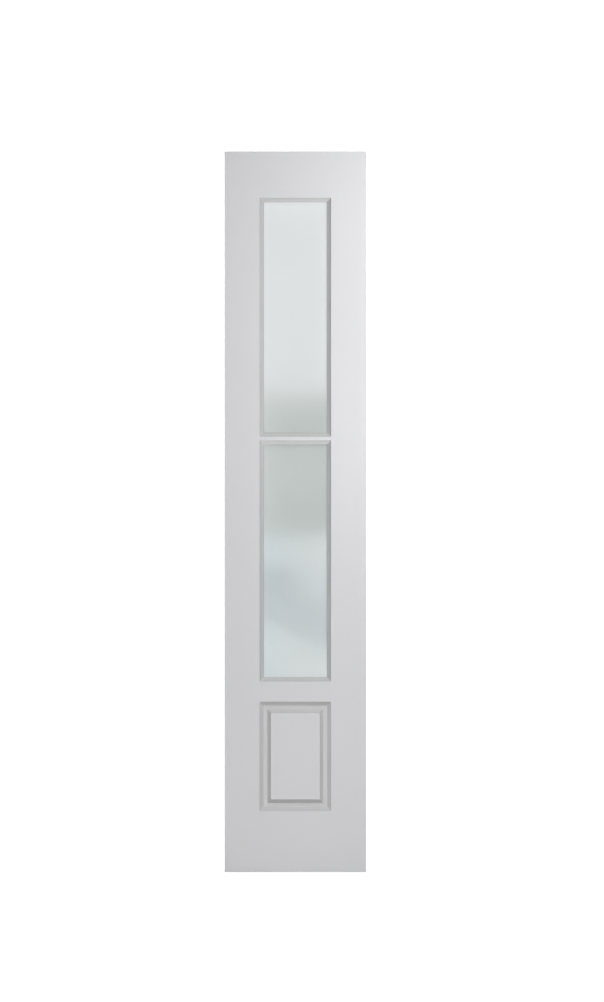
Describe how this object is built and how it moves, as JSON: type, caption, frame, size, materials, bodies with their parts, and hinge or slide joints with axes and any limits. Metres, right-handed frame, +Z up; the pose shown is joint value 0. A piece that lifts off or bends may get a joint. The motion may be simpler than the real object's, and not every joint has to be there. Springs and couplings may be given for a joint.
{
  "type": "entrance door sidelight",
  "caption": "Narrow fixed sidelight leaf for an entrance door, with two blurred glass lites divided by a slim bar over one raised panel.",
  "frame": {"origin": "middle of the bottom edge, half way through the leaf", "axes": "+X across the leaf to the right as seen from the front, -Y out of the front face, +Z up"},
  "size_m": [0.4, 0.04, 2.04],
  "materials": {
    "face_sheet": "satin",
    "core": "satin",
    "bead": "satin",
    "glass": "satin",
    "glazing_tape": "matte",
    "setting_block": "matte"
  },
  "bodies": {
    "root": {"front_skin": "face_sheet", "back_skin": "face_sheet", "left_stile": "core", "right_stile": "core", "top_rail": "core", "glazing_bar": "core", "lock_rail": "core", "bottom_rail": "core", "panel_core": "core", "upper_glass": "glass", "upper_setting_blocks": "setting_block", "front_upper_bead_top": "bead", "front_upper_bead_bottom": "bead", "front_upper_bead_left": "bead", "front_upper_bead_right": "bead", "front_upper_tape": "glazing_tape", "back_upper_bead_top": "bead", "back_upper_bead_bottom": "bead", "back_upper_bead_left": "bead", "back_upper_bead_right": "bead", "back_upper_tape": "glazing_tape", "lower_glass": "glass", "lower_setting_blocks": "setting_block", "front_lower_bead_top": "bead", "front_lower_bead_bottom": "bead", "front_lower_bead_left": "bead", "front_lower_bead_right": "bead", "front_lower_tape": "glazing_tape", "back_lower_bead_top": "bead", "back_lower_bead_bottom": "bead", "back_lower_bead_left": "bead", "back_lower_bead_right": "bead", "back_lower_tape": "glazing_tape"}
  },
  "joints": []
}
